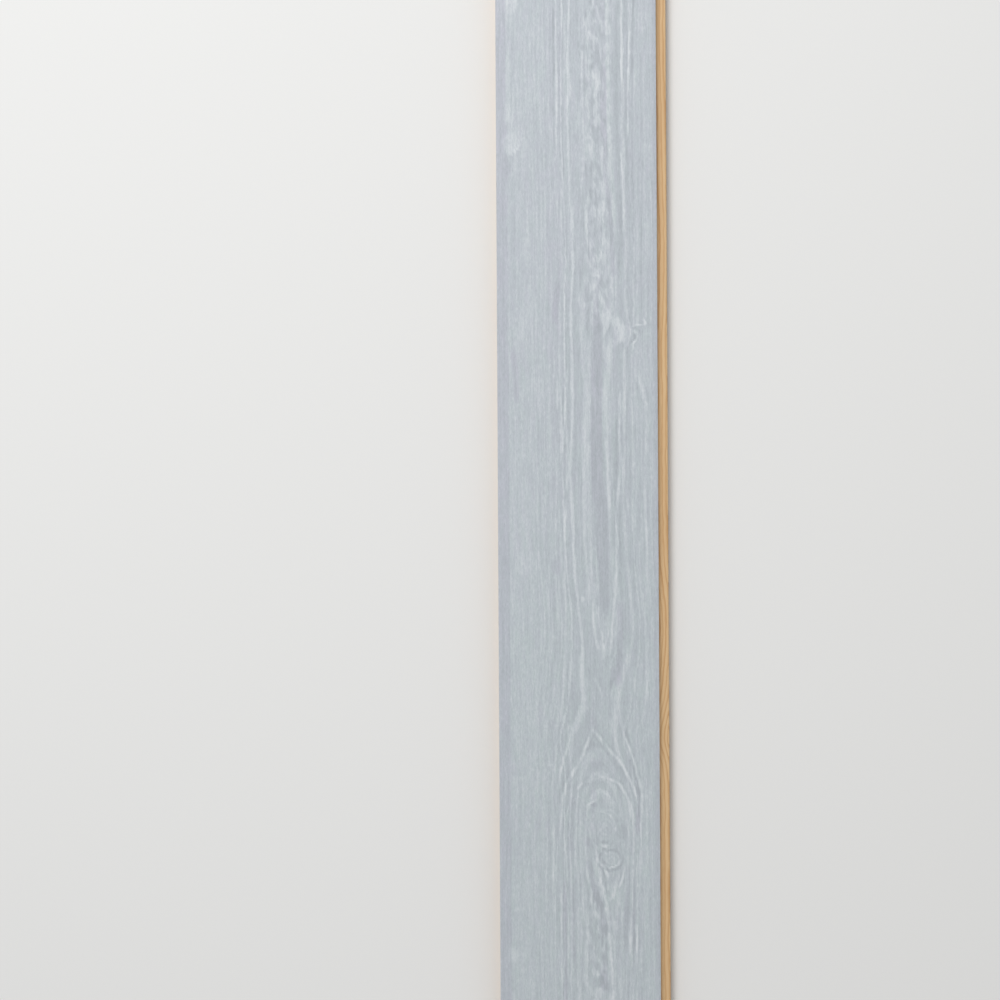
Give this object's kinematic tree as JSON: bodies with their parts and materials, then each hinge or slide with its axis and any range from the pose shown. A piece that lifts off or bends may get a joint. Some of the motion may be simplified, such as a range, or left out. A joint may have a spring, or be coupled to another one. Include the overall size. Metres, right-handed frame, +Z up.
{
  "type": "tongue and groove board",
  "caption": "Flat softwood board with a tongue along one edge, a matching groove along the other and relief channels along its back, its wire-brushed face in a pale grey-blue finish.",
  "frame": {"origin": "middle of the underside, which is the back of the board", "axes": "+Z up out of the finished face, +Y along the grain and the length, +X across the width towards the tongue"},
  "size_m": [0.146, 1.2, 0.019],
  "materials": {
    "board": "wire-brushed softwood in a thin, matt grey-blue paint on the face, with bare pine on the tongue, groove, back and ends"
  },
  "bodies": {
    "root": {"board": "board"}
  },
  "joints": []
}
